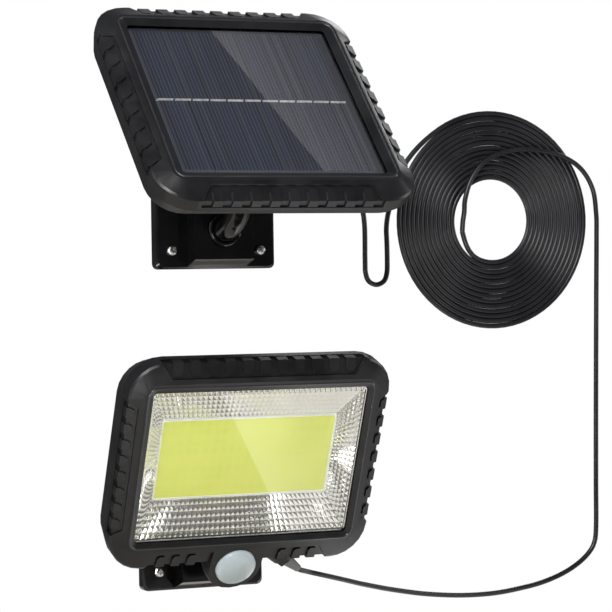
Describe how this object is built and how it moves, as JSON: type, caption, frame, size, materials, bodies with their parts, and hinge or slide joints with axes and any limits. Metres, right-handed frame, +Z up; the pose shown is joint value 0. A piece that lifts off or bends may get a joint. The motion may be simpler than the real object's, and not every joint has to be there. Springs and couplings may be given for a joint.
{
  "type": "solar flood light",
  "caption": "Wall-mounted solar flood light: square solar panel and rectangular lamp with motion sensor, each on a tilting bracket, joined by a thin coiled cord.",
  "frame": {"origin": "back face of the upper wall bracket, behind its swivel axis, on the wall plane", "axes": "+X to the right seen from the front, +Y into the wall, +Z up"},
  "size_m": [0.3225, 0.1316, 0.324],
  "materials": {
    "black_plastic": "semi-gloss moulded",
    "bracket_plastic": "gloss moulded",
    "rubber": "matt",
    "grey_rubber": "matt",
    "clear_glass": "clear",
    "solar_cell": "laminated dark blue cells",
    "bright_aluminium": "vacuum-metallised, faceted",
    "raw_aluminium": "plain sheet",
    "phosphor": "yellow phosphor gel",
    "circuit_board": "green solder mask",
    "milky_plastic": "milky, translucent",
    "bright_steel": "bright zinc",
    "battery_wrap": "shrink wrap",
    "cord_jacket": "soft gloss PVC jacket"
  },
  "bodies": {
    "fixture": {"panel_bracket": "bracket_plastic", "lamp_bracket": "bracket_plastic", "panel_stem_collar": "bracket_plastic", "lamp_stem_collar": "bracket_plastic", "panel_wall_screw_lower_left": "bright_steel", "panel_wall_screw_lower_right": "bright_steel", "panel_wall_screw_upper_left": "bright_steel", "panel_wall_screw_upper_right": "bright_steel", "lamp_wall_screw_lower_left": "bright_steel", "lamp_wall_screw_lower_right": "bright_steel", "lamp_wall_screw_upper_left": "bright_steel", "lamp_wall_screw_upper_right": "bright_steel", "cord_panel_loop": "cord_jacket", "cord_coil": "cord_jacket", "cord_run": "cord_jacket"},
    "panel_arm": {"panel_stem": "bracket_plastic", "cord_panel_arm": "cord_jacket"},
    "lamp_arm": {"lamp_stem": "bracket_plastic"},
    "panel_head": {"panel_front_frame": "black_plastic", "panel_glass": "clear_glass", "panel_solar_cells": "solar_cell", "panel_seal": "rubber", "panel_rear_shell": "black_plastic", "panel_hinge_bolt": "bright_steel", "panel_hinge_nut": "bright_steel", "panel_gland_nut": "black_plastic", "panel_strain_relief": "rubber", "cord_panel_lead": "cord_jacket", "panel_screw_lower_left": "bright_steel", "panel_screw_lower_right": "bright_steel", "panel_screw_upper_left": "bright_steel", "panel_screw_upper_right": "bright_steel"},
    "lamp_head": {"lamp_front_frame": "black_plastic", "lamp_glass": "clear_glass", "lamp_reflector": "bright_aluminium", "lamp_phosphor": "phosphor", "lamp_led_board": "raw_aluminium", "lamp_heat_spreader": "raw_aluminium", "lamp_driver_board": "circuit_board", "lamp_battery_cell": "battery_wrap", "lamp_battery_cradle": "black_plastic", "lamp_sensor_board": "circuit_board", "lamp_motion_sensor": "bright_steel", "lamp_sensor_lens": "milky_plastic", "lamp_switch_board": "circuit_board", "lamp_tact_switch": "black_plastic", "lamp_rear_shell": "black_plastic", "lamp_hinge_bolt": "bright_steel", "lamp_hinge_nut": "bright_steel", "lamp_gland_nut": "black_plastic", "lamp_strain_relief": "grey_rubber", "cord_lamp_lead": "cord_jacket", "lamp_screw_lower_left": "bright_steel", "lamp_screw_lower_right": "bright_steel", "lamp_screw_upper_left": "bright_steel", "lamp_screw_upper_right": "bright_steel"},
    "mode_button": {"lamp_mode_button": "grey_rubber"}
  },
  "joints": [
    {"name": "panel_swivel", "type": "hinge", "parent": "fixture", "child": "panel_arm", "pos_m": [0, -0.019, 0], "axis": [0, 1, 0], "range_deg": [-20, 20], "deforming": ["cord_panel_arm"]},
    {"name": "panel_tilt", "type": "hinge", "parent": "panel_arm", "child": "panel_head", "pos_m": [0, -0.044, 0.03], "axis": [1, 0, 0], "range_deg": [0, 40], "deforming": ["cord_panel_lead"]},
    {"name": "lamp_swivel", "type": "hinge", "parent": "fixture", "child": "lamp_arm", "pos_m": [-0.0103, -0.019, -0.1708], "axis": [0, 1, 0], "range_deg": [-20, 20]},
    {"name": "lamp_tilt", "type": "hinge", "parent": "lamp_arm", "child": "lamp_head", "pos_m": [-0.0103, -0.032, -0.1408], "axis": [1, 0, 0], "range_deg": [-30, 0], "deforming": ["cord_lamp_lead"]},
    {"name": "mode_button_press", "type": "slide", "parent": "lamp_head", "child": "mode_button", "axis": [0, -0.9252, -0.3795], "range_m": [0, 0.0012], "stiffness_N_per_m": 600, "springref_m": -0.0005}
  ]
}
